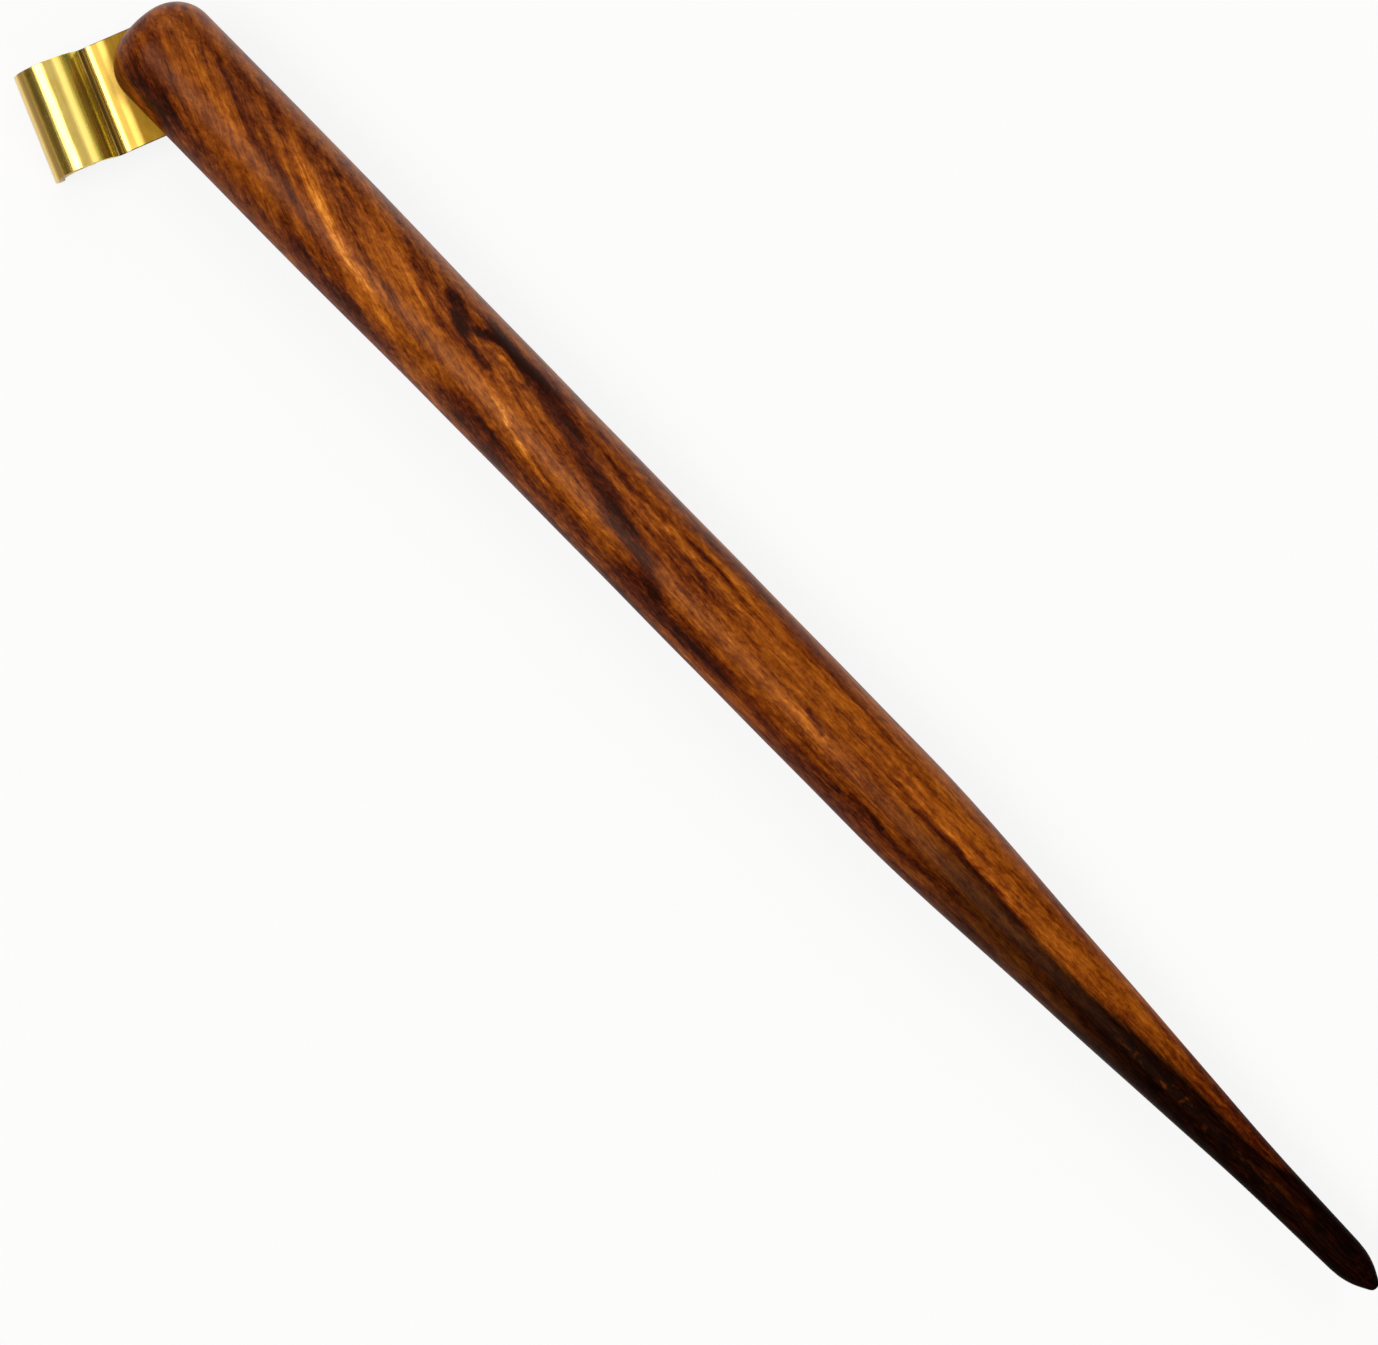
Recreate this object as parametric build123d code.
from build123d import *
import math
import os

# Oblique dip pen holder: a turned hardwood staff with a folded brass nib
# flange let into a sawn kerf on the left side of its head.
#
# Frame: the holder lies as it rests on a desk. The staff axis is the X axis,
# +X points forward out of the head (the nib end), +Y to the flange side and
# +Z up. The origin is on the staff axis in the middle of the true cylinder
# behind the flange. The desk is at Z = -barrel_r: the belly of the barrel and
# the rear end of the flange's fold stand on it.
#
# The parts are built with the head end at X = 0 and moved to this origin on
# export. Lengths are in mm, angles in degrees.

# ---------------------------------------------------------------- staff
staff_len = 180.0        # head end to tail tip
barrel_r = 5.80          # true cylinder where the holder is gripped
dome_r = 5.77            # radius behind the rounded head
end_flat_r = 1.65        # small flat left on the sanded end
dome_len = dome_r - end_flat_r   # radius of the rounding between the two
cyl_start = 13.0         # the true cylinder runs between these distances
cyl_end = 29.0           # behind the head end
head_x = (cyl_start + cyl_end) / 2   # head end, in front of the final origin

# Turned profile: (distance behind the head end, radius)
taper_pts = [
    (cyl_end, barrel_r),
    (36.0, 5.72), (46.0, 5.60), (60.0, 5.53), (78.0, 5.50),
    (96.0, 5.46), (108.0, 5.43), (114.5, 5.34), (120.0, 5.10),
    (126.0, 4.72), (134.0, 4.23), (142.0, 3.76), (150.0, 3.24),
    (158.0, 2.70), (166.0, 2.28), (172.0, 2.10),
]
shoulder = (175.4, 1.99)  # where the tail's blunt point begins
nose_pts = [(176.8, 1.82), (178.4, 1.30), (179.5, 0.72), (staff_len, 0)]
shoulder_tangent = (-1, -0.03)   # shared by the taper and the nose

# --------------------------------------------------------------- flange
sheet_t = 0.40           # brass strip thickness
oblique_deg = 22.6       # nib line against the staff axis, converging ahead
flange_w = 11.6          # length of the flange along the nib line
front_cross = 0.08       # X where the front edge's line crosses the axis
crest_q = 10.44          # arch crest from the staff axis, along the strip
roll_deg = 16.5          # strip plane drops this much towards its outer side
tongue_len = 9.0         # flat tongue, before the kerf trims it
dip_r, dip_deg = 2.3, 15.0     # bend down out of the flat tongue
dip_run = 0.1            # straight between the dip and the valley
valley_r = 1.0           # bend up again, at the foot of the arch
flank_deg = 69.0         # slope of the arch's inner flank
flank_run = 0.1          # straight part of that flank
arch_r = 3.4             # centreline radius of the arch over the nib
outer_deg = 86.0         # the arch carries on this far past its crest
skirt = 0.1              # straight skirt below the arch on the outer side
fold_r = 0.30            # centreline radius of the fold
leaf_r = arch_r - 2 * fold_r   # inner leaf, folded back under the arch
leaf_past_deg = 48.0     # the inner leaf ends this far past the crest
leaf_corner_r = 1.0      # rounded corners on the leaf's free end
leaf_reach = 3.0         # the free end lies within this of the crest, inwards

# ----------------------------------------------------------------- kerf
kerf_w = 0.60            # saw cut width; the rest is adhesive film
kerf_deg = 43.6          # straight kerf bottom against the staff axis
kerf_cross = -4.5        # X where the kerf bottom crosses the axis
tongue_gap = 0.15        # between the tongue's inner edge and kerf bottom
glue_recess = 0.12       # the cured adhesive sits this far below the wood

# Cutting slabs, large enough to pass right through the parts
slab_len, slab_depth, trim_thickness = 120, 60, 40

# Flange directions before the roll: along the nib line, and across it outwards
oblique = math.radians(oblique_deg)
nib_dir = Vector(math.cos(oblique), -math.sin(oblique), 0)
strip_dir = Vector(math.sin(oblique), math.cos(oblique), 0)
roll = Rot(-roll_deg, 0, 0)


def head_profile(inset=0.0):
    """End flat, rounding and head slope of the staff, drawn in by inset."""
    return [
        Line((-inset, 0), (-inset, end_flat_r)),
        CenterArc((-dome_len, end_flat_r), dome_len - inset, 0, 90),
        Line((-dome_len, dome_r - inset), (-cyl_start, barrel_r - inset)),
    ]


def turned(profile):
    """Closed half profile revolved about X, with the seam of the surface
    turned to the belly, clear of the kerf."""
    solid = revolve(make_face(profile), axis=Axis.X, revolution_arc=360)
    return Rot(-90, 0, 0) * solid


def stations(table):
    """Profile points from (distance behind the head end, radius) pairs."""
    return [(-x, radius) for x, radius in table]


def staff_blank():
    """The whole staff before the kerf is sawn."""
    barrel = Line((-cyl_start, barrel_r), (-cyl_end, barrel_r))
    taper = Spline(
        *stations(taper_pts + [shoulder]), tangents=[(-1, 0), shoulder_tangent]
    )
    nose = Spline(
        *stations([shoulder] + nose_pts), tangents=[shoulder_tangent, (0, -1)]
    )
    core = Line((-staff_len, 0), (0, 0))
    return turned(head_profile() + [barrel, taper, nose, core])


def glue_limit():
    """Head of the staff, drawn in by the recess: the adhesive ends at it."""
    back = Line((-cyl_start, barrel_r - glue_recess), (-cyl_start, 0))
    core = Line((-cyl_start, 0), (-glue_recess, 0))
    return turned(head_profile(glue_recess) + [back, core])


def advance(pose, size, turn_deg):
    """Next (q, h, heading) of the strip's centreline: a straight of length
    size if turn_deg is 0, else a bend of radius size, left positive."""
    q, h, heading = pose
    if turn_deg == 0:
        return (q + size * math.cos(heading), h + size * math.sin(heading), heading)
    radius = math.copysign(size, turn_deg)
    end = heading + math.radians(turn_deg)
    return (
        q + radius * (math.sin(end) - math.sin(heading)),
        h - radius * (math.cos(end) - math.cos(heading)),
        end,
    )


def beside(pose, offset):
    """Point offset to the left of the centreline."""
    q, h, heading = pose
    return (q - offset * math.sin(heading), h + offset * math.cos(heading))


def strip_face():
    """Cross-section of the folded strip in its (q, h) plane, q measured from
    the staff axis outwards along the strip and h square to the tongue."""
    # Straights and bends from the tongue outwards: (length or radius, turn)
    to_arch = [
        (tongue_len, 0),
        (dip_r, -dip_deg),
        (dip_run, 0),
        (valley_r, dip_deg + flank_deg),
        (flank_run, 0),
    ]
    from_arch = [
        (arch_r, -(flank_deg + outer_deg)),
        (skirt, 0),
        (fold_r, -180.0),
        (skirt, 0),
        (leaf_r, outer_deg + leaf_past_deg),
    ]

    # Start the tongue where it brings the crest to crest_q.
    pose = (0.0, 0.0, 0.0)
    for size, turn in to_arch + [(arch_r, -flank_deg)]:
        pose = advance(pose, size, turn)
    poses = [(crest_q - pose[0], 0.0, 0.0)]

    path = to_arch + from_arch
    for size, turn in path:
        poses.append(advance(poses[-1], size, turn))

    half_t = sheet_t / 2
    edges = []
    for offset in (half_t, -half_t):
        for (size, turn), start, end in zip(path, poses, poses[1:]):
            first, last = beside(start, offset), beside(end, offset)
            if turn == 0:
                edges.append(Line(first, last))
            else:
                middle = beside(advance(start, size, turn / 2), offset)
                edges.append(ThreePointArc(first, middle, last))
    for pose in (poses[0], poses[-1]):
        edges.append(Line(beside(pose, half_t), beside(pose, -half_t)))
    return make_face(edges)


def kerf_slab(offset, side, thickness):
    """Slab in the unrolled strip plane, bounded by a line parallel to the kerf
    bottom and offset towards the flange. It lies on the flange side of that
    line (side = -1) or on the far side (side = 1)."""
    angle = math.radians(kerf_deg)
    along = Vector(-math.cos(angle), math.sin(angle), 0)
    outwards = Vector(math.sin(angle), math.cos(angle), 0)
    origin = Vector(kerf_cross, 0, 0) + outwards * offset
    plane = Plane(origin=origin, x_dir=along, z_dir=(0, 0, 1))
    slab = Box(slab_len, slab_depth, thickness)
    return plane * Pos(0, side * slab_depth / 2, 0) * slab


def brass_flange():
    """Strip section pulled back along the nib line, its tongue trimmed to the
    kerf and the leaf's free corners rounded."""
    front = Plane(origin=(front_cross, 0, 0), x_dir=strip_dir, z_dir=nib_dir)
    strip = extrude(front * strip_face(), amount=-flange_w, dir=nib_dir)
    strip = strip - kerf_slab(tongue_gap, 1, trim_thickness)

    # Short edges through the sheet at the leaf's free end
    leaf_corners = [
        edge
        for edge in strip.edges()
        if abs(edge.length - sheet_t) < 1e-3
        and abs(edge.tangent_at(0.5).dot(nib_dir)) < 1e-3
        and crest_q - leaf_reach < edge.center().dot(strip_dir) < crest_q
    ]
    return roll * fillet(leaf_corners, leaf_corner_r)


flange = brass_flange()
kerf = roll * kerf_slab(0.0, -1, kerf_w)
parts = {
    "staff": staff_blank() - kerf,
    "flange": flange,
    "glue_bond": (glue_limit() & kerf) - flange,
}

os.makedirs("parts", exist_ok=True)
for name, shape in parts.items():
    shape = Pos(head_x, 0, 0) * shape
    shape.label = name
    export_step(shape, f"parts/{name}.step")
